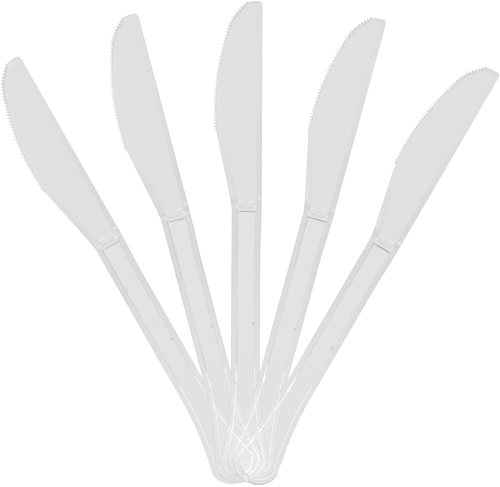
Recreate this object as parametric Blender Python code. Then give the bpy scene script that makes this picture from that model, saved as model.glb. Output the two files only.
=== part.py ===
"""A pack of clear plastic table knives, fanned out and resting on each other at the handle ends.

Each knife is one moulded piece: a flat handle with a raised rim round a sunk panel, a sloping
bridge at the neck, and a thin blade with a serrated cutting edge. A knife is modelled lying on
its flat underside with its handle's end at the origin, its tip towards +Y and its spine at +X.
"""

from math import asin, cos, pi, radians, sin

import bmesh
import bpy
from mathutils import Matrix, Vector
from mathutils.geometry import interpolate_bezier

MM = 0.001

# Lengths along the knife, from the end of the handle
LENGTH = 190.0 * MM
NECK_Y = 107.2 * MM  # where the sunk panel stops
BRIDGE_END_Y = 112.6 * MM  # where the bridge has run down to the blade
TEETH_END_Y = 138.4 * MM
BELLY_Y = 145.0 * MM  # the blade's widest place

# Handle
HALF_WIDTH = 5.68 * MM
FLARE_START_Y = 41.0 * MM
FLARE_END_Y = 8.2 * MM
FLARE_EXTRA = 4.02 * MM  # how much each side widens
END_RADIUS = 10.05 * MM
RIM_HEIGHT = 2.8 * MM
RIM_WIDTH = 2.1 * MM
PANEL_THICKNESS = 1.1 * MM
PANEL_CORNER = 0.9 * MM
PANEL_DRAFT = 0.25 * MM  # how far the panel's walls lean back at the top
EDGE_BREAK = 0.35 * MM  # the rounding of the handle's outer edges
DIMPLE_SIZE = (6.6 * MM, 3.0 * MM, 0.7 * MM)  # the lens-shaped hollow in the bridge
DIMPLE_Y = 109.5 * MM

# Blade
SPINE_X = 6.15 * MM
BELLY_X = -12.55 * MM
TIP_START = Vector((0.2 * MM, 189.5 * MM))  # where the teeth start
TIP_CORNER = 1.5 * MM
SPINE_THICKNESS = 1.8 * MM
EDGE_THICKNESS = 0.9 * MM  # of the blade's flat, at the belly
SPINE_BEVEL = 2.0 * MM
SPINE_LAND = 1.25 * MM  # height of the spine's upright side
TEETH_BEVEL = 1.3 * MM
HEEL_BEVEL = 0.9 * MM
CUTTING_LAND = 0.35 * MM  # height of the cutting edge's upright side
TOOTH_PITCH = 1.25 * MM
TOOTH_DEPTH = 1.15 * MM
TEETH_STEP = 0.5 * MM  # the edge steps in by this where the teeth end

# Fan, from the bottom knife to the top one: name and lean from the middle, positive to the right
FAN = (  # the lean, and how far the knife is slid out from where the handle ends meet
    ("knife_far_left", -30.0, 0.45 * MM),
    ("knife_left", -15.0, 0.0),
    ("knife_middle", 0.0, 0.0),
    ("knife_right", 15.0, 0.75 * MM),
    ("knife_far_right", 30.0, 0.43 * MM),
)
FAN_STEP = radians(15.0)
GAP = 0.3 * MM  # between a knife and the one that it rests on

OVERSIZE = 10.0 * MM  # how far cutters run past what they cut


def new_object(name, bm, collection):
    """A mesh object from a bmesh, with its faces turned outwards."""
    bmesh.ops.recalc_face_normals(bm, faces=bm.faces)
    mesh = bpy.data.meshes.new(name)
    bm.to_mesh(mesh)
    bm.free()
    obj = bpy.data.objects.new(name, mesh)
    collection.objects.link(obj)
    return obj


def loft(name, rings, collection):
    """A closed solid through rings of equally many points, with flat caps on the first and last."""
    bm = bmesh.new()
    loops = [[bm.verts.new(point) for point in ring] for ring in rings]
    bm.faces.new(loops[0])
    bm.faces.new(loops[-1])
    for low, high in zip(loops, loops[1:]):
        for i in range(len(low)):
            bm.faces.new((low[i - 1], low[i], high[i], high[i - 1]))
    return new_object(name, bm, collection)


def as_cutter(obj):
    obj.hide_render = True
    obj.display_type = "WIRE"
    return obj


def boolean(obj, other, operation):
    modifier = obj.modifiers.new(other.name, "BOOLEAN")
    modifier.operation = operation
    modifier.solver = "EXACT"
    modifier.object = other


def normals_of(points):
    """The outward unit normal at each point of a closed outline that runs anticlockwise."""
    found = []
    for i, point in enumerate(points):
        along = points[(i + 1) % len(points)] - points[i - 1]
        found.append(Vector((along.y, -along.x)).normalized())
    return found


def bezier(start, start_handle, end_handle, end, count):
    """Points of one cubic curve, without its last one."""
    handles = [Vector((*p, 0.0)) for p in (start, start_handle, end_handle, end)]
    return [p.to_2d() for p in interpolate_bezier(*handles, count + 1)][:-1]


def spaced(points, pitch):
    """Points along a polyline at an even spacing, the nearest to pitch that divides it."""
    lengths = [(b - a).length for a, b in zip(points, points[1:])]
    count = round(sum(lengths) / pitch)
    step = sum(lengths) / count
    found = []
    for i in range(count):
        left = i * step
        leg = 0
        while left > lengths[leg]:
            left -= lengths[leg]
            leg += 1
        found.append(points[leg].lerp(points[leg + 1], left / lengths[leg]))
    return found


def flare_half_width(y):
    """Straight down to the flare's start, then widening with the square of the distance."""
    share = max(0.0, (FLARE_START_Y - y) / (FLARE_START_Y - FLARE_END_Y))
    return HALF_WIDTH + FLARE_EXTRA * share**2


def handle_side(inset, top_y):
    """The handle's right side from its end up to top_y, moved in by inset."""
    radius = END_RADIUS - inset
    widest = flare_half_width(FLARE_END_Y) - inset
    corner = asin(widest / radius) if widest < radius else pi / 2
    arc_steps = 10
    points = []
    for i in range(1, arc_steps + 1):
        turn = corner * i / arc_steps
        points.append(Vector((radius * sin(turn), END_RADIUS - radius * cos(turn))))
    flare_steps = 9
    for i in range(flare_steps + 1):
        y = FLARE_END_Y + (FLARE_START_Y - FLARE_END_Y) * i / flare_steps
        points.append(Vector((flare_half_width(y) - inset, y)))
    points.append(Vector((HALF_WIDTH - inset, top_y)))
    return points


def mirrored(side):
    return [Vector((-p.x, p.y)) for p in reversed(side)]


def raised(points, z):
    return [Vector((p.x, p.y, z)) for p in points]


def shrunk(points, distance):
    return [p - n * distance for p, n in zip(points, normals_of(points))]


def handle_outline():
    """Anticlockwise from the end's lowest point, ending square at the bridge's end."""
    right = handle_side(0.0, NECK_Y - 4 * MM)
    right.append(Vector((SPINE_X, NECK_Y)))
    right.append(Vector((SPINE_X, BRIDGE_END_Y)))
    left = mirrored(handle_side(0.0, BRIDGE_END_Y))
    return [Vector((0.0, 0.0)), *right, *left]


def handle(collection):
    """A flat bar with broken edges, which the panel is cut out of later."""
    outline = handle_outline()
    smaller = shrunk(outline, EDGE_BREAK)
    rings = [
        raised(smaller, 0.0),
        raised(outline, EDGE_BREAK),
        raised(outline, RIM_HEIGHT - EDGE_BREAK),
        raised(smaller, RIM_HEIGHT),
    ]
    return loft("handle", rings, collection)


def panel_cutter(collection):
    """The sunk panel: the handle's outline moved in by the rim, with round corners at the neck."""
    right = handle_side(RIM_WIDTH, NECK_Y - PANEL_CORNER)
    corner_steps = 4
    for i in range(1, corner_steps + 1):
        turn = pi / 2 * i / corner_steps
        x = HALF_WIDTH - RIM_WIDTH - PANEL_CORNER * (1 - cos(turn))
        right.append(Vector((x, NECK_Y - PANEL_CORNER * (1 - sin(turn)))))
    outline = [Vector((0.0, RIM_WIDTH)), *right, *mirrored(right)]
    wider = shrunk(outline, -PANEL_DRAFT)
    rings = [
        raised(outline, PANEL_THICKNESS),
        raised(wider, RIM_HEIGHT),
        raised(wider, RIM_HEIGHT + OVERSIZE),
    ]
    return as_cutter(loft("panel_cutter", rings, collection))


def bridge_cutter(collection):
    """Takes the bridge down into the blade's flat, in a hollow curve that levels out."""
    start_y = NECK_Y + 1.0 * MM
    steps = 8
    profile = []
    for i in range(steps + 1):
        share = i / steps
        y = start_y + (BRIDGE_END_Y - start_y) * share
        drop = (RIM_HEIGHT - EDGE_THICKNESS) * share * (2 - share)
        profile.append((y, RIM_HEIGHT - drop))
    profile.append((BRIDGE_END_Y + OVERSIZE, profile[-1][1]))
    profile.append((BRIDGE_END_Y + OVERSIZE, RIM_HEIGHT + OVERSIZE))
    profile.append((start_y, RIM_HEIGHT + OVERSIZE))
    sides = [
        [Vector((x, y, z)) for y, z in profile]
        for x in (-HALF_WIDTH - OVERSIZE, SPINE_X + OVERSIZE)
    ]
    return as_cutter(loft("bridge_cutter", sides, collection))


def dimple_cutter(collection):
    """A flat ball that leaves a lens-shaped hollow in the bridge."""
    bm = bmesh.new()
    bmesh.ops.create_uvsphere(bm, u_segments=24, v_segments=10, radius=0.5)
    bmesh.ops.scale(bm, verts=bm.verts, vec=DIMPLE_SIZE)
    slope = (RIM_HEIGHT - EDGE_THICKNESS) / (BRIDGE_END_Y - NECK_Y)
    place = Vector((0.0, DIMPLE_Y, RIM_HEIGHT - slope * (DIMPLE_Y - NECK_Y)))
    turn = Matrix.Rotation(-slope, 4, "X")
    bmesh.ops.transform(bm, verts=bm.verts, matrix=Matrix.Translation(place) @ turn)
    return as_cutter(new_object("dimple_cutter", bm, collection))


def blade_points():
    """The blade's outline, anticlockwise from the spine at the neck.

    Each entry is the place on the even outline, how far the tooth stands out there, how wide the
    top's bevel is and how high the upright side is.
    """
    root_y = NECK_Y - 4 * MM
    spine = (0.0, SPINE_BEVEL, SPINE_LAND)
    heel = (0.0, HEEL_BEVEL, CUTTING_LAND)
    points = [
        (Vector((SPINE_X, BRIDGE_END_Y - 2 * MM)), *spine),
        (Vector((SPINE_X, LENGTH - TIP_CORNER)), *spine),
    ]
    corner_steps = 5
    for i in range(1, corner_steps + 1):
        turn = pi / 2 * i / corner_steps
        place = Vector((SPINE_X - TIP_CORNER * (1 - cos(turn)), LENGTH - TIP_CORNER * (1 - sin(turn))))
        share = i / corner_steps
        bevel = SPINE_BEVEL + (HEEL_BEVEL - SPINE_BEVEL) * share
        land = SPINE_LAND + (CUTTING_LAND * 2 - SPINE_LAND) * share
        points.append((place, 0.0, bevel, land))
    points.append((Vector((2.4 * MM, LENGTH - 0.1 * MM)), 0.0, HEEL_BEVEL, CUTTING_LAND * 2))
    for i, place in enumerate(spaced(cutting_curve(), TOOTH_PITCH / 2)):
        stands_out = TOOTH_DEPTH * (0.5 if i % 2 else -0.5)
        points.append((place, stands_out, TEETH_BEVEL, CUTTING_LAND))
    points += [(place, *heel) for place in heel_curve()]
    points.append((Vector((-HALF_WIDTH, root_y)), *heel))
    points.append((Vector((HALF_WIDTH, root_y)), *spine))
    return points


def cutting_curve():
    """The even line through the teeth: round at the tip, then nearly straight to the belly."""
    shoulder = Vector((-7.3 * MM, 179.2 * MM))
    tip = bezier(
        TIP_START,
        Vector((-3.6 * MM, 186.6 * MM)),
        Vector((-6.3 * MM, 183.0 * MM)),
        shoulder,
        12,
    )
    side = bezier(
        shoulder,
        Vector((-9.8 * MM, 171.5 * MM)),
        Vector((-12.9 * MM, 159.5 * MM)),
        Vector((BELLY_X, BELLY_Y)),
        20,
    )
    end = Vector((BELLY_X + 0.25 * MM, TEETH_END_Y))
    return [*tip, *side, Vector((BELLY_X, BELLY_Y)), end]


def heel_curve():
    """The smooth edge from the step at the last tooth down to the handle's side."""
    step = Vector((BELLY_X + 0.25 * MM + TEETH_STEP, TEETH_END_Y - 0.3 * MM))
    return bezier(
        step,
        Vector((-10.0 * MM, 128.5 * MM)),
        Vector((-6.2 * MM, 113.0 * MM)),
        Vector((-HALF_WIDTH, NECK_Y + 1.0 * MM)),
        9,
    )


def blade_top(x):
    """The blade's flat slopes evenly from the spine down to the belly."""
    share = (SPINE_X - x) / (SPINE_X - BELLY_X)
    return SPINE_THICKNESS + (EDGE_THICKNESS - SPINE_THICKNESS) * share


def blade(collection):
    """Upright sides with the teeth in them, then a bevel up to the sloping flat."""
    points = blade_points()
    places = [point[0] for point in points]
    bottom, land, top = [], [], []
    for (place, tooth, bevel, side_height), normal in zip(points, normals_of(places)):
        edge = place + normal * tooth
        inner = place - normal * bevel
        bottom.append(Vector((edge.x, edge.y, 0.0)))
        land.append(Vector((edge.x, edge.y, side_height)))
        top.append(Vector((inner.x, inner.y, blade_top(inner.x))))
    return as_cutter(loft("blade", [bottom, land, top], collection))


def clear_plastic():
    """Crystal polystyrene: almost colourless, glossy and see-through."""
    material = bpy.data.materials.new("clear_polystyrene")
    material.use_nodes = True
    shader = material.node_tree.nodes["Principled BSDF"]
    shader.inputs["Base Color"].default_value = (0.83, 0.83, 0.82, 1.0)
    shader.inputs["Roughness"].default_value = 0.08
    shader.inputs["Metallic"].default_value = 0.0
    shader.inputs["IOR"].default_value = 1.59
    shader.inputs["Transmission Weight"].default_value = 1.0
    return material


def knife_mesh(helpers):
    """One whole knife: the bridge sloped, the blade joined on, then the panel and dimple cut."""
    knife = handle(helpers)
    boolean(knife, bridge_cutter(helpers), "DIFFERENCE")
    boolean(knife, blade(helpers), "UNION")
    boolean(knife, panel_cutter(helpers), "DIFFERENCE")
    boolean(knife, dimple_cutter(helpers), "DIFFERENCE")
    bpy.context.view_layer.update()
    graph = bpy.context.evaluated_depsgraph_get()
    mesh = bpy.data.meshes.new_from_object(knife.evaluated_get(graph))
    mesh.name = "knife"
    mesh.materials.clear()
    mesh.materials.append(clear_plastic())
    mesh.shade_smooth()
    mesh.set_sharp_from_angle(angle=radians(25.0))
    as_cutter(knife)
    return mesh


def placed_knives(mesh, collection):
    """The knives share their handle ends' place, and each lies on the one before it.

    Two neighbours part where their sides cross. The upper one rests there and on its tip, so each
    one leans a little more than the one below it.
    """
    crossing_y = HALF_WIDTH / sin(FAN_STEP / 2) * cos(FAN_STEP / 2)
    extra_slope = (RIM_HEIGHT + GAP) / (LENGTH - crossing_y)
    knives = []
    for level, (name, degrees, slide) in enumerate(FAN):
        lean = radians(degrees)
        slope = asin(level * extra_slope)
        knife = bpy.data.objects.new(name, mesh)
        knife.rotation_euler = (-slope, 0.0, -lean)
        knife.location = (slide * sin(lean), slide * cos(lean), LENGTH * sin(slope))
        collection.objects.link(knife)
        knives.append(knife)
    return knives


def centre_on_origin(knives):
    """Moves the fan so that the middle of its plan is at the origin."""
    bpy.context.view_layer.update()
    corners = [k.matrix_world @ v.co for k in knives for v in k.data.vertices]
    for axis in (0, 1):
        values = [c[axis] for c in corners]
        middle = (min(values) + max(values)) / 2
        for knife in knives:
            knife.location[axis] -= middle


def main():
    for obj in list(bpy.data.objects):
        bpy.data.objects.remove(obj, do_unlink=True)
    scene = bpy.context.scene
    pack = bpy.data.collections.new("plastic_cutlery_pack")
    helpers = bpy.data.collections.new("helpers")
    scene.collection.children.link(pack)
    scene.collection.children.link(helpers)
    mesh = knife_mesh(helpers)
    knives = placed_knives(mesh, pack)
    centre_on_origin(knives)


main()
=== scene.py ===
"""Clear plastic table knives in a fan, on a pale table under soft studio light."""

import bmesh
import bpy
import numpy as np
from mathutils import Matrix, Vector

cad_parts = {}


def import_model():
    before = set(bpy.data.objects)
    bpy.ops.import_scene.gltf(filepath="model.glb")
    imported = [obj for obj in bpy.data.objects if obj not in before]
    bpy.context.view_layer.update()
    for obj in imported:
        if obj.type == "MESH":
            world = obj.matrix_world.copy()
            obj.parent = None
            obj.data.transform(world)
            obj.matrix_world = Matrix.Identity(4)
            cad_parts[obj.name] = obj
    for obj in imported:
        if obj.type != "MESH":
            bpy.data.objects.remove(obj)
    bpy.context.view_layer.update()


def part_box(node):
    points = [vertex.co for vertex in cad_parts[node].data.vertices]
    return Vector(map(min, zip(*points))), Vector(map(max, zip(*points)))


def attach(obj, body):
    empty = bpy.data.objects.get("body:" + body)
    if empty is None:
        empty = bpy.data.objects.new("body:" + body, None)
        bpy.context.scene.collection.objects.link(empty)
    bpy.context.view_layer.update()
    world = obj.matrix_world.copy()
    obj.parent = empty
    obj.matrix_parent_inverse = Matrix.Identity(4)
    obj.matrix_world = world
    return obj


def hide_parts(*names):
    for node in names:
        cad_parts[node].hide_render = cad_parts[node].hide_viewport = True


MM = 0.001

# One knife, lying flat with its handle's end at the origin, its tip at +Y and its spine at +X
LENGTH = 189.9 * MM
HALF_WIDTH = 5.68 * MM
FLARE_START_Y = 41.0 * MM
FLARE_END_Y = 8.2 * MM
FLARE_EXTRA = 4.02 * MM
END_RADIUS = 10.05 * MM
SPINE_X = 6.13 * MM
BELLY_X = -12.53 * MM
BELLY_Y = 145.0 * MM
TEETH_END_Y = 138.4 * MM
TIP_POLE = np.array([-0.6, 184.0]) * MM  # where the lines across the tip meet
TIP_CORNER = np.array([1.4, 2.2]) * MM  # half axes of the rounding where the spine meets the tip

# Heights above the flat underside
RIM_HEIGHT = 2.8 * MM
PANEL_THICKNESS = 1.1 * MM
SPINE_THICKNESS = 1.8 * MM
BELLY_THICKNESS = 0.9 * MM
SPINE_LAND = 1.5 * MM
HEEL_LAND = 0.85 * MM
TEETH_LAND = 0.4 * MM

# Across the rim and the blade's bevels, measured in from the edge
RIM_ROUNDING = 0.45 * MM
PANEL_WALL_START = 2.1 * MM
PANEL_WALL_WIDTH = 0.34 * MM
END_WALL_WIDTH = 0.42 * MM
END_PANEL_DEPTH = 0.28 * MM
PANEL_CORNER = 0.9 * MM
SPINE_BEVEL = 2.0 * MM
HEEL_BEVEL = 1.6 * MM
TEETH_BEVEL = 1.5 * MM  # in the hollows between teeth
CREST_BEVEL = 0.6 * MM  # on the teeth
UNDER_ROUNDING = 0.25 * MM

# The neck
PANEL_END_Y = 106.85 * MM
SCOOP_HALF_WIDTH = 3.55 * MM
SCOOP_LOW = (107.6 * MM, 108.8 * MM)  # its curved lower border in the middle and at its corners
SCOOP_HIGH = 110.6 * MM  # its straight upper border
LIP_HEIGHT = 0.16 * MM
LIP_WIDTH = 0.2 * MM
RAIL_RAMP = (107.8 * MM, 113.2 * MM)  # where the rails run down into the blade's bevels

TOOTH_PITCH = 1.25 * MM
TOOTH_DEPTH = 1.15 * MM
TEETH_STEP = 0.45 * MM

GATE_MARK = np.array([2.95, 62.6]) * MM  # where the plastic was fed in
GATE_RADIUS = 0.55 * MM
GATE_HEIGHT = 0.16 * MM

# Where painted highlights lie along sharp edges, and how brightly they glow
HIGHLIGHT_BAND = (1.9 * MM, 2.19 * MM)  # along the panel's edge, measured in from the outline
HIGHLIGHT_HIGH_Y = 46.0 * MM
HIGHLIGHT_LEFT_LOW_Y = 7.0 * MM
EDGE_GLOW = 0.72
COVERED_Y = 32.0 * MM  # below here the knives lie over each other

FAN = {  # degrees from the middle, positive to the right, and how far out it is slid
    "knife_far_left": (-30.0, 0.45 * MM),
    "knife_left": (-15.0, 0.0),
    "knife_middle": (0.0, 0.0),
    "knife_right": (15.0, 0.75 * MM),
    "knife_far_right": (30.0, 0.43 * MM),
}


def smooth(share):
    """Rises from 0 to 1 with level ends: three times the square less twice the cube."""
    share = np.clip(share, 0.0, 1.0)
    return share * share * (3.0 - 2.0 * share)


def higher(a, b, blend):
    """The larger of two heights, rounded off where they are within blend of each other."""
    near = np.clip(blend - np.abs(a - b), 0.0, None)
    return np.maximum(a, b) + near**2 / (4.0 * blend)


# ---------------------------------------------------------------- the knife's outline


def half_width(y):
    """The handle's: straight, and wider below the flare's start by the square of the distance."""
    flare = np.clip((FLARE_START_Y - y) / (FLARE_START_Y - FLARE_END_Y), 0.0, None)
    return HALF_WIDTH + FLARE_EXTRA * flare**2


def right_edge(y):
    """The handle's side, easing out to the blade's straight spine before the neck."""
    return half_width(y) + (SPINE_X - HALF_WIDTH) * smooth((y - 90.0 * MM) / (18.0 * MM))


def cubic(start, first, second, end, count):
    """Points on the cubic curve that leaves start towards first and reaches end from second."""
    t = np.linspace(0.0, 1.0, count)[:, None]
    corners = [np.array(p) * MM for p in (start, first, second, end)]
    weights = ((1 - t) ** 3, 3 * t * (1 - t) ** 2, 3 * t**2 * (1 - t), t**3)
    return sum(w * p for w, p in zip(weights, corners))


def cutting_curve():
    """The even line through the teeth, from the tip round to where they stop."""
    tip = cubic((0.2, 189.5), (-3.6, 186.6), (-6.3, 183.0), (-7.3, 179.2), 120)
    side = cubic((-7.3, 179.2), (-9.8, 171.5), (-12.9, 159.5), (-12.53, 145.0), 200)
    end = cubic((-12.53, 145.0), (-12.5, 142.8), (-12.42, 140.6), (-12.3, 138.4), 30)
    return np.vstack([tip, side[1:], end[1:]])


def heel_curve():
    """The smooth edge from the last tooth down into the handle's side."""
    step = (-12.3 + TEETH_STEP / MM, 138.3)
    curve = cubic(step, (-10.0, 128.5), (-6.2, 113.0), (-5.68, 108.2), 80)
    return curve


def lengths_along(points):
    """Distance along a line of points, from its first one."""
    steps = np.hypot(*np.diff(points, axis=0).T)
    return np.concatenate([[0.0], np.cumsum(steps)])


def left_edge(y):
    """The cutting edge's even line and the heel, and below them the handle's side."""
    cutting, heel = cutting_curve()[::-1], heel_curve()[::-1]
    x = -half_width(y)
    x = np.where(y > heel[0, 1], np.interp(y, heel[:, 1], heel[:, 0]), x)
    return np.where(y > TEETH_END_Y, np.interp(y, cutting[:, 1], cutting[:, 0]), x)


def centre_x(y):
    """The line in the middle that both sides' cross lines run to."""
    share = smooth((y - 107.0 * MM) / (32.0 * MM)) - smooth((y - 150.0 * MM) / (40.0 * MM)) * 0.8
    return share * -3.0 * MM


def rows_along():
    """Places along the knife for its cross lines, close together where the shape changes fast."""
    stretches = (
        (END_RADIUS / MM, 61.5, 0.85),
        (61.7, 63.5, 0.12),
        (63.8, 103.0, 1.0),
        (103.3, 114.0, 0.13),
        (114.3, 138.0, 0.7),
        (138.1, 184.0, 1.25 / 9),
    )
    return np.concatenate([np.arange(*stretch) for stretch in stretches]) * MM


def tip_fan():
    """The outline above the tip's pole, from the spine round to the cutting edge."""
    turn = np.linspace(0.0, np.pi / 2, 14)
    corner_middle = np.array([SPINE_X, LENGTH]) - TIP_CORNER
    corner = corner_middle + np.stack([np.cos(turn), np.sin(turn)], axis=1) * TIP_CORNER
    straight = np.linspace(TIP_POLE[1], corner[0, 1], 10)
    spine = np.stack([np.full(10, SPINE_X), straight], axis=1)
    top = cubic((4.73, 189.9), (3.2, 189.9), (1.6, 189.8), (0.2, 189.5), 14)
    cutting = cutting_curve()
    along = lengths_along(cutting)
    last = np.interp(-TIP_POLE[1], -cutting[:, 1], along)
    places = np.linspace(0.0, last, int(last / (TOOTH_PITCH / 10)))
    teeth = np.stack([np.interp(places, along, cutting[:, k]) for k in (0, 1)], axis=1)
    return np.vstack([spine[:-1], corner[:-1], top[:-1], teeth])


def end_fan():
    """The outline below the end's centre, from the left side round to the right."""
    flare_y = np.linspace(END_RADIUS, FLARE_END_Y, 5)
    flare = np.stack([right_edge(flare_y), flare_y], axis=1)
    corner = np.arcsin(right_edge(FLARE_END_Y) / END_RADIUS)
    turn = np.linspace(corner, 0.0, 26)
    arc = np.stack([np.sin(turn), 1.0 - np.cos(turn)], axis=1) * END_RADIUS
    right = np.vstack([flare, arc])[::-1]
    left = right[:0:-1] * (-1.0, 1.0)
    return np.vstack([left, right])


def knife_outline():
    """Anticlockwise points of the even outline, and for each the middle point it is joined to."""
    y = rows_along()
    centres = np.stack([centre_x(y), y], axis=1)
    right = np.stack([right_edge(y), y], axis=1)
    left = np.stack([left_edge(y), y], axis=1)
    centres[0] = 0.0, END_RADIUS
    tip, end = tip_fan(), end_fan()[1:-1]
    edge = np.vstack([right, tip, left[::-1], end])
    tip_centres = np.tile(TIP_POLE, (len(tip), 1))
    end_centres = np.tile((0.0, END_RADIUS), (len(end), 1))
    middle = np.vstack([centres, tip_centres, centres[::-1], end_centres])
    return edge, middle


def outward(points):
    """Unit normals of a closed outline, from the points on both sides of each."""
    along = np.roll(points, -2, axis=0) - np.roll(points, 2, axis=0)
    normal = np.stack([along[:, 1], -along[:, 0]], axis=1)
    return normal / np.linalg.norm(normal, axis=1, keepdims=True)


def tooth_wave(edge):
    """1 on a tooth's point and -1 in a hollow: a saw wave along the cutting edge with slightly
    blunted points, and 0 on the rest of the outline."""
    cutting = cutting_curve()
    along = lengths_along(cutting)
    near_tip = edge[:, 1] > 180.0 * MM
    by_y = np.interp(-edge[:, 1], -cutting[:, 1], along)
    by_x = np.interp(-edge[:, 0], -cutting[:, 0], along)
    place = np.where(near_tip, by_x, by_y)
    count = np.round(along[-1] / TOOTH_PITCH)
    phase = place / along[-1] * count % 1.0
    saw = 1.0 - np.abs(2.0 * phase - 1.0) * 2.0
    wave = np.clip(saw, -0.93, 0.93) / 0.93
    has_teeth = (edge[:, 1] > TEETH_END_Y) & (edge[:, 0] < 0.2 * MM)
    return np.where(has_teeth, wave, 0.0)


# ---------------------------------------------------------------- the knife's heights


def blade_flat(x):
    """The blade's flat falls evenly from the spine to the belly."""
    share = (SPINE_X - x) / (SPINE_X - BELLY_X)
    return SPINE_THICKNESS + (BELLY_THICKNESS - SPINE_THICKNESS) * share


def blade_height(x, inset, on_spine, wave):
    """The flat, less a bevel that falls to the edge's upright side. The teeth's bevel is narrow on
    their points and wide in the hollows between them, which makes them ridges."""
    toothed = wave != 0.0
    ridged = TEETH_BEVEL + (CREST_BEVEL - TEETH_BEVEL) * (wave + 1.0) / 2
    width = np.where(on_spine, SPINE_BEVEL, np.where(toothed, ridged, HEEL_BEVEL))
    land = np.where(on_spine, SPINE_LAND, np.where(toothed, TEETH_LAND, HEEL_LAND))
    share = np.clip(inset / width, 0.0, 1.0)
    rounded = share + 0.25 * share * (1.0 - share)
    flat = blade_flat(x)
    return np.minimum(land + (flat - land) * rounded, flat)


def ramp_height(x, y):
    """The bridge: level at the rim's height, then down to the blade. Between the rails it is a
    scoop with a curved lower border, steep at first and then flat; the rails run down beside it
    more slowly."""
    across = np.clip(np.abs(x) / SCOOP_HALF_WIDTH, 0.0, 1.0)
    low = SCOOP_LOW[0] + (SCOOP_LOW[1] - SCOOP_LOW[0]) * across**2
    scoop = np.clip((y - low) / (SCOOP_HIGH - low), 0.0, 1.0)
    rails = smooth((y - RAIL_RAMP[0]) / (RAIL_RAMP[1] - RAIL_RAMP[0]))
    drop = RIM_HEIGHT - BELLY_THICKNESS
    by_scoop = RIM_HEIGHT - drop * (1.0 - (1.0 - scoop) ** 3)
    by_rails = RIM_HEIGHT - drop * rails
    side = smooth((np.abs(x) - SCOOP_HALF_WIDTH + 0.3 * MM) / (0.5 * MM))
    return by_scoop + (by_rails - by_scoop) * side


def scoop_lip(x, y):
    """A low ridge along the scoop's upper border, highest towards its ends."""
    across = np.abs(x) / SCOOP_HALF_WIDTH
    along = smooth((SCOOP_HALF_WIDTH - np.abs(x)) / (0.6 * MM)) * (0.45 + 0.55 * across)
    return LIP_HEIGHT * along * np.exp(-(((y - SCOOP_HIGH) / LIP_WIDTH) ** 2))


def clear_of_end(y):
    """0 at the handle's wide end, where the knives lie over each other, and 1 further up."""
    return smooth((y - 38.0 * MM) / (22.0 * MM))


def panel_depth(inset, y):
    """How far the panel is sunk, from the distance inside its outline with round corners. Its
    walls are steep, and it gets shallow with sloping walls towards the handle's wide end."""
    a, b = inset - PANEL_WALL_START, PANEL_END_Y - y
    outside = np.hypot(np.clip(PANEL_CORNER - a, 0, None), np.clip(PANEL_CORNER - b, 0, None))
    inside = np.where(b > 2.0 * PANEL_CORNER, a, PANEL_CORNER - outside)
    width = PANEL_WALL_WIDTH + (END_WALL_WIDTH - PANEL_WALL_WIDTH) * (1.0 - clear_of_end(y))
    depth = END_PANEL_DEPTH + (RIM_HEIGHT - PANEL_THICKNESS - END_PANEL_DEPTH) * clear_of_end(y)
    return depth * smooth(inside / width)


def gate_mark(x, y):
    """A low round button with soft sides."""
    away = np.hypot(x - GATE_MARK[0], y - GATE_MARK[1])
    return GATE_HEIGHT * smooth((GATE_RADIUS - away) / (0.3 * MM))


def top_height(x, y, inset, on_spine, wave):
    """The whole upper side: rim and bridge over the blade, less the panel, plus the gate's mark."""
    edge_drop = RIM_ROUNDING - np.sqrt(
        np.clip(RIM_ROUNDING**2 - np.clip(RIM_ROUNDING - inset, 0.0, None) ** 2, 0.0, None)
    )
    crown = 0.06 * MM * np.clip((inset - 0.9 * MM) / (0.9 * MM), -1.0, 1.0) ** 2
    bridge = ramp_height(x, y) - edge_drop - crown * (y < PANEL_END_Y)
    blade = blade_height(x, inset, on_spine, wave)
    over_blade = y > PANEL_END_Y + 0.2 * MM
    body = np.where(over_blade, higher(bridge, blade, 0.12 * MM), bridge)
    return body - panel_depth(inset, y) + gate_mark(x, y) + scoop_lip(x, y)


def painted_shade(x, y, inset, on_spine, wave):
    """How much painted shade darkens the top face, 0 to 1: a little on the thick strips along the
    edges and on the blade, and more in the teeth's hollows, on the panel's walls, along the outline
    and in a dot on the gate mark. It is painted shade laid on by place, not worked out from the light."""
    on_handle = y < PANEL_END_Y + 2.0 * MM
    blade = 0.05 * ~on_handle
    spine = 0.16 * smooth((2.15 * MM - inset) / (0.1 * MM))
    heel = 0.12 * smooth((3.8 * MM - inset) / (2.6 * MM)) * (1.0 - smooth((y - 118.0 * MM) / (18.0 * MM)))
    edge_strip = np.where(on_spine, spine, heel)
    rail = 0.17 * smooth((PANEL_WALL_START + 0.05 * MM - inset) / (0.1 * MM))
    upward = 1.0 - 0.85 * smooth((y - 118.0 * MM) / (50.0 * MM))
    free = clear_of_end(y)
    downward = 0.1 + 0.9 * smooth((y - 42.0 * MM) / (50.0 * MM))
    strip = np.where(on_handle, rail * downward, edge_strip * upward)
    strip = np.where(wave == 0.0, strip, 0.0)
    hollow = 0.85 * np.clip(-wave, 0.0, 1.0) * np.clip(1.0 - inset / (0.7 * MM), 0.0, 1.0)
    outline = 0.4 * np.clip(1.0 - inset / (0.35 * MM), 0.0, 1.0) * free
    wall = np.exp(-(((inset - 2.2 * MM) / (0.13 * MM)) ** 2)) * np.where(on_spine, 0.45, 1.0)
    wall = wall * (y < PANEL_END_Y) * free * (0.35 + 0.65 * smooth((y - 80.0 * MM) / (12.0 * MM)))
    end = (np.abs(y - PANEL_END_Y + 0.15 * MM) < 0.17 * MM) * (inset > 2.0 * MM)
    corner = 0.45 + 0.55 * smooth((np.abs(x) - 2.3 * MM) / (1.0 * MM))
    # painted shade: a dark dot on the gate mark
    core = np.hypot(x - GATE_MARK[0], y - GATE_MARK[1]) / (0.45 * MM)
    blade = blade + 0.6 * np.exp(-(core**2))
    return np.clip(blade + strip + hollow + outline + 0.6 * wall + 0.6 * end * corner, 0.0, 1.0)


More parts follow.
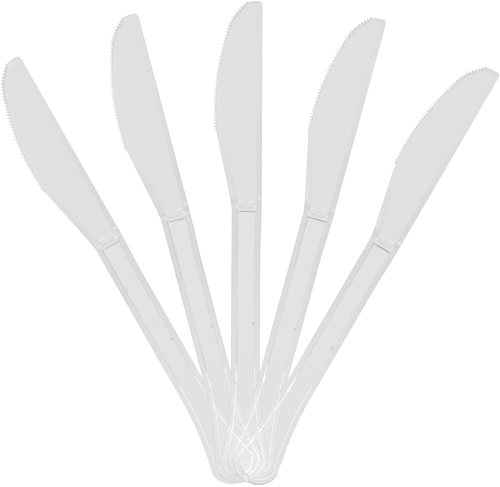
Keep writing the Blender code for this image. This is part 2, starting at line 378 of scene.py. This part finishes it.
def is_painted_highlight(x, y, inset, on_spine):
    """Where a painted highlight lies on a sharp edge: along the panel's edges at the handle's wide end,
    in dashes along the scoop's upper border and at its corners, and in a tick on the neck's spine."""
    band = (inset > HIGHLIGHT_BAND[0]) & (inset < HIGHLIGHT_BAND[1])
    rim = band & (y < HIGHLIGHT_HIGH_Y) & ((x > 0.0) | (y > HIGHLIGHT_LEFT_LOW_Y))
    u = np.abs(x) / SCOOP_HALF_WIDTH
    dashes = (np.abs(y - SCOOP_HIGH) < 0.135 * MM) & (u < 0.92) & (u > 0.25)
    corners = (np.hypot(u - 1.0, (y - SCOOP_LOW[1]) / SCOOP_HALF_WIDTH) < 0.1) & (inset > 1.6 * MM)
    tick = on_spine & (inset > 0.65 * MM) & (inset < 1.05 * MM) & (np.abs(y - 111.9 * MM) < 0.6 * MM)
    return rim | dashes | corners | tick


# ---------------------------------------------------------------- the knife's mesh

TOP_INSETS = (
    [0.0, 0.03, 0.08, 0.15, 0.25, 0.36, 0.48, 0.7, 1.0, 1.3, 1.6, 1.84, 1.96]
    + [2.1, 2.14, 2.18, 2.22, 2.26, 2.3, 2.35, 2.4, 2.45, 2.55, 2.7]
    + [2.85, 3.0, 3.15, 3.3, 3.45, 3.6, 3.75, 3.9, 4.05, 4.3]
)
INNER_SHARES = [0.3, 0.65, 1.0]
UNDER_INSETS = [2.4, 1.2, 0.6, 0.3, 0.18, 0.1, 0.04, 0.0]
SIDE_STEPS = 5


def knife_grid():
    """Rings from the underside's middle out to the edge, up the side and in to the top's middle,
    how much painted shade each point has, and whether it carries a painted highlight.

    A point is the outline's point moved towards its middle point: by a true inset near the edge,
    and by a share of what is left further in.
    """
    edge, middle = knife_outline()
    normal = outward(edge)
    wave = tooth_wave(edge)
    tooth = wave * TOOTH_DEPTH / 2
    reach = np.linalg.norm(middle - edge, axis=1)
    towards = (middle - edge) / reach[:, None]
    slant = np.clip(-(normal * towards).sum(axis=1), 0.45, 1.0)
    on_spine = (edge[:, 0] > middle[:, 0]) & ~((edge[:, 1] > LENGTH - 0.6 * MM) & (edge[:, 0] < 4.5 * MM))
    deepest = TOP_INSETS[-1] * MM

    def plan(inset, share=0.0):
        """x, y and true inset of the ring that lies inset from the edge, and share beyond it."""
        straight = np.minimum(inset / slant, reach * 0.86)
        straight = straight + (reach - straight) * share
        fade = np.clip(1.0 - inset / TEETH_BEVEL, 0.0, 1.0)
        place = edge + towards * straight[:, None] + normal * (tooth * fade)[:, None]
        return place, straight * slant

    rings, under, painted_shades, painted_highlights = [], [], [], []
    for share in INNER_SHARES[::-1]:
        under.append((plan(UNDER_INSETS[0] * MM, share), 0.0))
    for inset in UNDER_INSETS:
        rounding = UNDER_ROUNDING - np.sqrt(
            max(UNDER_ROUNDING**2 - max(UNDER_ROUNDING - inset * MM, 0.0) ** 2, 0.0)
        )
        thin = edge[:, 1] > 112.0 * MM
        under.append((plan(inset * MM), np.where(thin & ~on_spine, rounding * 0.3, rounding)))
    for (place, _), z in under:
        rings.append(np.column_stack([place, np.broadcast_to(z, len(place))]))
        painted_shades.append(np.zeros(len(place)))
        painted_highlights.append(np.zeros(len(place), bool))
    low = rings[-1][:, 2]
    place, inset = plan(0.0)
    high = top_height(place[:, 0], place[:, 1], inset, on_spine, wave)
    for i in range(1, SIDE_STEPS):
        rings.append(np.column_stack([place, low + (high - low) * i / SIDE_STEPS]))
        painted_shades.append(painted_shade(place[:, 0], place[:, 1], inset, on_spine, wave))
        painted_highlights.append(is_painted_highlight(place[:, 0], place[:, 1], inset, on_spine))
    tops = [plan(inset * MM) for inset in TOP_INSETS]
    tops += [plan(deepest, share) for share in INNER_SHARES]
    for place, inset in tops:
        z = top_height(place[:, 0], place[:, 1], inset, on_spine, wave)
        rings.append(np.column_stack([place, z]))
        painted_shades.append(painted_shade(place[:, 0], place[:, 1], inset, on_spine, wave))
        painted_highlights.append(is_painted_highlight(place[:, 0], place[:, 1], inset, on_spine))
    grid = np.stack(rings)
    for ring in (0, -1):
        grid[ring, :, :2] = middle
    grid[-1, :, 2] = middle_heights(grid[-1], edge)
    return grid, np.stack(painted_shades), np.stack(painted_highlights)


def middle_heights(ring, edge):
    """Both sides meet on the middle line, so they take the mean of their heights there."""
    rows = len(rows_along())
    tip = len(tip_fan())
    z = ring[:, 2].copy()
    right, left = z[:rows], z[rows + tip : 2 * rows + tip][::-1]
    mean = (right + left) / 2
    z[:rows] = mean
    z[rows + tip : 2 * rows + tip] = mean[::-1]
    z[rows : rows + tip] = mean[-1]
    z[2 * rows + tip :] = mean[0]
    return z


def knife_object(name, matrix, above, materials):
    """The grid as a closed mesh, put in its place in the fan, with its own places kept in an
    attribute so that a pattern can follow the knife, and its painted shade and painted highlights in
    two more. above is how many knives lie over it: its painted highlights glow more beneath them,
    so that they still show."""
    grid, painted_shades, painted_highlights = knife_grid()
    rings, around = grid.shape[:2]
    index = np.arange(rings * around).reshape(rings, around)
    turned = np.roll(index, -1, axis=1)
    quads = np.stack([index[:-1], turned[:-1], turned[1:], index[1:]], axis=-1).reshape(-1, 4)
    points = grid.reshape(-1, 3)
    beside = np.roll(painted_highlights, -1, axis=1)
    inside = np.stack([painted_highlights[:-1], beside[:-1], beside[1:], painted_highlights[1:]])
    mesh = bpy.data.meshes.new(name)
    mesh.from_pydata(points.tolist(), [], quads.tolist())
    own = mesh.attributes.new("knife_place", "FLOAT_VECTOR", "POINT")
    own.data.foreach_set("vector", points.astype(np.float32).ravel())
    # Painted shade: how much the top face's colour is darkened in creases, hollows, on walls and along
    # the outline.
    grey = mesh.attributes.new("knife_painted_shade", "FLOAT", "POINT")
    grey.data.foreach_set("value", painted_shades.astype(np.float32).ravel())
    # Painted highlights: how brightly the highlight edges glow, brighter on knives that lie under others.
    glow = mesh.attributes.new("knife_glow", "FLOAT", "POINT")
    towards_end = 0.07 + 0.08 * smooth((20.0 * MM - points[:, 1]) / (8.0 * MM))
    covered = towards_end * (points[:, 0] > 0.0) * (points[:, 1] < COVERED_Y)
    glow.data.foreach_set("value", (EDGE_GLOW + above * covered).astype(np.float32))
    # Faces with painted highlights at all four corners take the glowing second material.
    mesh.polygons.foreach_set("material_index", inside.all(axis=0).ravel().astype(np.int32))
    bm = bmesh.new()
    bm.from_mesh(mesh)
    bmesh.ops.remove_doubles(bm, verts=bm.verts, dist=1e-7)
    bmesh.ops.recalc_face_normals(bm, faces=bm.faces)
    bm.to_mesh(mesh)
    bm.free()
    mesh.transform(matrix)
    for material in materials:
        mesh.materials.append(material)
    mesh.shade_smooth()
    mesh.set_sharp_from_angle(angle=np.radians(38.0))
    obj = bpy.data.objects.new(name, mesh)
    bpy.context.scene.collection.objects.link(obj)
    return obj


def fan_matrices():
    """Where each knife lies: its end close to the shared point, leaning to its side, and raised at
    the handle so that its tip is on the table. The point and the heights come from the CAD."""
    middle_low, middle_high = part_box("knife_middle")
    pivot_x = middle_high[0] - half_width(FLARE_END_Y)
    pivot_y = middle_low[1]
    found = {}
    for name, (degrees, slide) in FAN.items():
        lean = np.radians(degrees)
        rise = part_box(name)[1][2] - RIM_HEIGHT
        x, y = pivot_x + slide * np.sin(lean), pivot_y + slide * np.cos(lean)
        place = Matrix.Translation((x, y, rise))
        turn = Matrix.Rotation(-lean, 4, "Z")
        tilt = Matrix.Rotation(-np.arcsin(rise / LENGTH), 4, "X")
        found[name] = place @ turn @ tilt
    return found


# ---------------------------------------------------------------- materials


def linear(hex_colour):
    """A hex colour as linear red, green, blue and an alpha of 1."""
    values = [int(hex_colour[i : i + 2], 16) / 255 for i in (1, 3, 5)]
    bent = [v / 12.92 if v <= 0.04045 else ((v + 0.055) / 1.055) ** 2.4 for v in values]
    return (*bent, 1.0)


def node(tree, kind, values=None, **settings):
    """Adds a node. values maps an input's name to a number, a colour or the socket it reads."""
    made = tree.nodes.new(kind)
    for key, value in settings.items():
        setattr(made, key, value)
    for key, value in (values or {}).items():
        if isinstance(value, bpy.types.NodeSocket):
            tree.links.new(value, made.inputs[key])
        else:
            made.inputs[key].default_value = value
    return made


def blank_material(name):
    material = bpy.data.materials.new(name)
    material.use_nodes = True
    material.node_tree.nodes.clear()
    return material


def clear_polystyrene():
    """Crystal polystyrene, injection moulded in a polished tool: glass-like, with a faint grey
    haze in its thickness, fine flow streaks along the knife and a slightly uneven gloss."""
    material = blank_material("crystal_polystyrene_moulded")
    tree = material.node_tree
    place = node(tree, "ShaderNodeAttribute", attribute_name="knife_place").outputs["Vector"]
    streaks_at = node(
        tree,
        "ShaderNodeMapping",
        {"Vector": place, "Scale": (1 / (1.2 * MM), 1 / (30 * MM), 1 / (1.2 * MM))},
    )
    streaks = node(
        tree,
        "ShaderNodeTexNoise",
        {"Vector": streaks_at.outputs["Vector"], "Scale": 1.0, "Detail": 2.0},
    )
    blotches = node(tree, "ShaderNodeTexNoise", {"Vector": place, "Scale": 1 / (9 * MM), "Detail": 2.0})
    gloss = node(
        tree,
        "ShaderNodeMapRange",
        {
            "Value": blotches.outputs["Fac"],
            "From Min": 0.3,
            "From Max": 0.7,
            "To Min": 0.04,
            "To Max": 0.08,
        },
    )
    flow = node(
        tree,
        "ShaderNodeBump",
        {"Height": streaks.outputs["Fac"], "Strength": 0.06, "Distance": 0.02 * MM},
    )
    # Painted shade: the attribute darkens the base colour towards mid grey in creases, hollows, on walls
    # and along the outline.
    grey = node(tree, "ShaderNodeAttribute", attribute_name="knife_painted_shade").outputs["Fac"]
    painted_shade_colour = node(
        tree,
        "ShaderNodeMixRGB",
        {"Fac": grey, "Color1": linear("#FFFFFF"), "Color2": linear("#6E6E6E")},
    )
    shader = node(
        tree,
        "ShaderNodeBsdfPrincipled",
        {
            "Base Color": painted_shade_colour.outputs["Color"],
            "Metallic": 0.0,
            "IOR": 1.59,
            "Transmission Weight": 1.0,
            "Roughness": gloss.outputs["Result"],
            "Normal": flow.outputs["Normal"],
        },
    )
    haze = node(tree, "ShaderNodeVolumeAbsorption", {"Color": linear("#E5E5E5"), "Density": 25.0})
    node(
        tree,
        "ShaderNodeOutputMaterial",
        {"Surface": shader.outputs["BSDF"], "Volume": haze.outputs["Volume"]},
    )
    return material


def painted_highlight_polystyrene():
    """The same plastic as painted highlights along its sharp edges: matt and whitish, and it gives off
    light of its own, by an amount that is given. That stands in for light led along inside clear
    plastic to its edges, which isn't simulated."""
    material = blank_material("polystyrene_painted_highlight_edge")
    tree = material.node_tree
    glow = node(tree, "ShaderNodeAttribute", attribute_name="knife_glow").outputs["Fac"]
    values = {"Base Color": linear("#8E8E8D"), "Roughness": 0.55, "IOR": 1.59}
    values |= {"Emission Color": linear("#FFFFFF"), "Emission Strength": glow}
    shader = node(tree, "ShaderNodeBsdfPrincipled", values)
    node(tree, "ShaderNodeOutputMaterial", {"Surface": shader.outputs["BSDF"]})
    return material


def light_table():
    """A lit opal ground without shadows. It is white where it is seen bare, and pale grey to light
    that has met the plastic, so that clear plastic shows on white: a real ground is one colour to
    both. Further out it is dark to the plastic, which draws the dark lines in its edges."""
    material = blank_material("lit_opal_acrylic")
    tree = material.node_tree
    place = node(tree, "ShaderNodeTexCoord").outputs["Object"]
    away = node(tree, "ShaderNodeVectorMath", {0: place}, operation="LENGTH").outputs["Value"]
    lit = node(
        tree,
        "ShaderNodeMapRange",
        {"Value": away, "From Min": 0.2, "From Max": 0.5, "To Min": 0.732, "To Max": 0.12},
    )
    white = node(tree, "ShaderNodeEmission", {"Color": linear("#FFFFFF"), "Strength": 1.05})
    grey = node(
        tree,
        "ShaderNodeEmission",
        {"Color": linear("#FFFDFB"), "Strength": lit.outputs["Result"]},
    )
    bare = node(tree, "ShaderNodeLightPath").outputs["Is Camera Ray"]
    shown = node(tree, "ShaderNodeMixShader", {"Fac": bare})
    tree.links.new(grey.outputs["Emission"], shown.inputs[1])
    tree.links.new(white.outputs["Emission"], shown.inputs[2])
    node(tree, "ShaderNodeOutputMaterial", {"Surface": shown.outputs["Shader"]})
    return material


# ---------------------------------------------------------------- the studio


def table():
    """A flat pale ground under the whole scene, just below what rests on it."""
    half = 6.0
    corners = [(-half, -half), (half, -half), (half, half), (-half, half)]
    mesh = bpy.data.meshes.new("table")
    mesh.from_pydata([(x, y, -0.05 * MM) for x, y in corners], [], [(0, 1, 2, 3)])
    mesh.materials.append(light_table())
    obj = bpy.data.objects.new("table", mesh)
    bpy.context.scene.collection.objects.link(obj)


def softbox(name, place, size, power):
    """A square white area light that faces the middle of the fan."""
    light = bpy.data.lights.new(name, "AREA")
    light.shape = "SQUARE"
    light.size = size
    light.energy = power
    obj = bpy.data.objects.new(name, light)
    obj.location = place
    direction = -obj.location
    obj.rotation_euler = direction.to_track_quat("-Z", "Y").to_euler()
    bpy.context.scene.collection.objects.link(obj)


def studio():
    """A dome that is bright overhead and dark low down, pale where it is seen bare, and one light."""
    world = bpy.data.worlds.new("studio")
    world.use_nodes = True
    tree = world.node_tree
    tree.nodes.clear()
    towards = node(tree, "ShaderNodeTexCoord").outputs["Generated"]
    height = node(tree, "ShaderNodeSeparateXYZ", {"Vector": towards}).outputs["Z"]
    strength = node(
        tree,
        "ShaderNodeMapRange",
        {"Value": height, "From Min": 0.1, "From Max": 0.8, "To Min": 0.08, "To Max": 1.25},
    )
    sky = node(
        tree,
        "ShaderNodeBackground",
        {"Color": linear("#FFFFFF"), "Strength": strength.outputs["Result"]},
    )
    pale = node(tree, "ShaderNodeBackground", {"Color": linear("#FAFAFA"), "Strength": 1.0})
    bare = node(tree, "ShaderNodeLightPath").outputs["Is Camera Ray"]
    shown = node(tree, "ShaderNodeMixShader", {"Fac": bare})
    tree.links.new(sky.outputs["Background"], shown.inputs[1])
    tree.links.new(pale.outputs["Background"], shown.inputs[2])
    node(tree, "ShaderNodeOutputWorld", {"Surface": shown.outputs["Shader"]})
    bpy.context.scene.world = world
    softbox("key", (-0.5, 0.42, 0.8), 0.7, 1.6)
    bpy.context.scene.view_settings.view_transform = "Standard"
    bpy.context.scene.view_settings.look = "None"


def deep_bounces():
    """Light crosses two faces in each of five knives on its way down, and the same on its way up."""
    cycles = bpy.context.scene.cycles
    cycles.max_bounces = 40
    cycles.transmission_bounces = 40
    cycles.glossy_bounces = 12


def camera():
    """Straight above and far off, so that the view is almost free of perspective."""
    distance = 4.0
    width = 197.5 * MM
    data = bpy.data.cameras.new("camera")
    data.sensor_width = 36.0
    data.lens = data.sensor_width * distance / width
    data.clip_end = 50.0
    obj = bpy.data.objects.new("camera", data)
    obj.location = (0.36 * MM, -0.39 * MM, distance)
    obj.rotation_euler = (0.0, 0.0, np.radians(0.26))
    bpy.context.scene.collection.objects.link(obj)
    bpy.context.scene.camera = obj


def main():
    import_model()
    camera()
    plastics = [clear_polystyrene(), painted_highlight_polystyrene()]
    for order, (node_name, matrix) in enumerate(fan_matrices().items(), start=1):
        knife = knife_object(f"{node_name}_moulding", matrix, len(FAN) - order, plastics)
        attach(knife, "root")
        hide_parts(node_name)
    table()
    studio()
    deep_bounces()


main()
